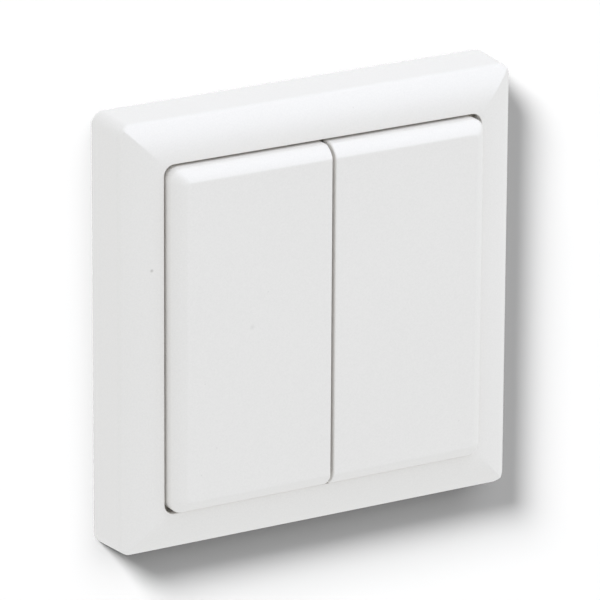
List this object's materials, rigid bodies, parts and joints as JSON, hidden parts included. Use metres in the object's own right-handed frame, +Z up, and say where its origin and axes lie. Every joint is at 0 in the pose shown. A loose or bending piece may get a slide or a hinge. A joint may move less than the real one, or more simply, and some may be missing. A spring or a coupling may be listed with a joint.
{
  "type": "wireless remote wall switch",
  "caption": "Square surface-mounted wireless wall switch with a sloped clip-on frame around a pair of tall bevelled rockers that tilt both ways, over a battery-powered radio module.",
  "frame": {"origin": "centre of the back face, on the wall", "axes": "+X to the right as seen from the room, +Y into the wall, +Z up"},
  "size_m": [0.08, 0.015, 0.08],
  "materials": {
    "white_plastic": "fine satin grain",
    "inner_plastic": "plain moulded",
    "black_plastic": "plain moulded",
    "plunger_plastic": "smooth moulded",
    "dome_rubber": "matt",
    "board_laminate": "green solder mask",
    "plated_steel": "bright plating",
    "cell_can": "bright rolled can",
    "aerial_wire": "enamelled wire",
    "ceramic": "fired ceramic"
  },
  "bodies": {
    "housing": {"cover_frame": "white_plastic", "switch_carrier": "inner_plastic", "wall_plate": "inner_plastic", "circuit_board": "board_laminate", "module_screws": "plated_steel", "coin_cell": "cell_can", "battery_holder": "black_plastic", "battery_strap": "plated_steel", "battery_leaf": "plated_steel", "controller_chip": "black_plastic", "resonator_can": "plated_steel", "antenna_wire": "aerial_wire", "switch_terminals": "plated_steel", "chip_components": "ceramic", "switch_body_left_top": "black_plastic", "switch_cover_left_top": "plated_steel", "return_dome_left_top": "dome_rubber", "switch_body_left_bottom": "black_plastic", "switch_cover_left_bottom": "plated_steel", "return_dome_left_bottom": "dome_rubber", "switch_body_right_top": "black_plastic", "switch_cover_right_top": "plated_steel", "return_dome_right_top": "dome_rubber", "switch_body_right_bottom": "black_plastic", "switch_cover_right_bottom": "plated_steel", "return_dome_right_bottom": "dome_rubber"},
    "left_rocker": {"left_rocker": "white_plastic"},
    "right_rocker": {"right_rocker": "white_plastic"},
    "plunger_left_top": {"plunger_left_top": "plunger_plastic"},
    "plunger_left_bottom": {"plunger_left_bottom": "plunger_plastic"},
    "plunger_right_top": {"plunger_right_top": "plunger_plastic"},
    "plunger_right_bottom": {"plunger_right_bottom": "plunger_plastic"}
  },
  "joints": [
    {"name": "left_rocker_tilt", "type": "hinge", "parent": "housing", "child": "left_rocker", "pos_m": [-0.016, -0.011, 0], "axis": [-1, 0, 0], "range_deg": [-2, 2], "stiffness_Nm_per_rad": 1.5},
    {"name": "right_rocker_tilt", "type": "hinge", "parent": "housing", "child": "right_rocker", "pos_m": [0.016, -0.011, 0], "axis": [-1, 0, 0], "range_deg": [-2, 2], "stiffness_Nm_per_rad": 1.5},
    {"name": "plunger_left_top_slide", "type": "slide", "parent": "housing", "child": "plunger_left_top", "axis": [0, 1, 0], "range_m": [-0.00056, 0.00056], "deforming": ["return_dome_left_top"]},
    {"name": "plunger_left_bottom_slide", "type": "slide", "parent": "housing", "child": "plunger_left_bottom", "axis": [0, 1, 0], "range_m": [-0.00056, 0.00056], "deforming": ["return_dome_left_bottom"]},
    {"name": "plunger_right_top_slide", "type": "slide", "parent": "housing", "child": "plunger_right_top", "axis": [0, 1, 0], "range_m": [-0.00056, 0.00056], "deforming": ["return_dome_right_top"]},
    {"name": "plunger_right_bottom_slide", "type": "slide", "parent": "housing", "child": "plunger_right_bottom", "axis": [0, 1, 0], "range_m": [-0.00056, 0.00056], "deforming": ["return_dome_right_bottom"]}
  ],
  "couplings": [
    {"joint": "plunger_left_top_slide", "follows": "left_rocker_tilt", "m_per_rad": 0.016},
    {"joint": "plunger_left_bottom_slide", "follows": "left_rocker_tilt", "m_per_rad": -0.016},
    {"joint": "plunger_right_top_slide", "follows": "right_rocker_tilt", "m_per_rad": 0.016},
    {"joint": "plunger_right_bottom_slide", "follows": "right_rocker_tilt", "m_per_rad": -0.016}
  ]
}
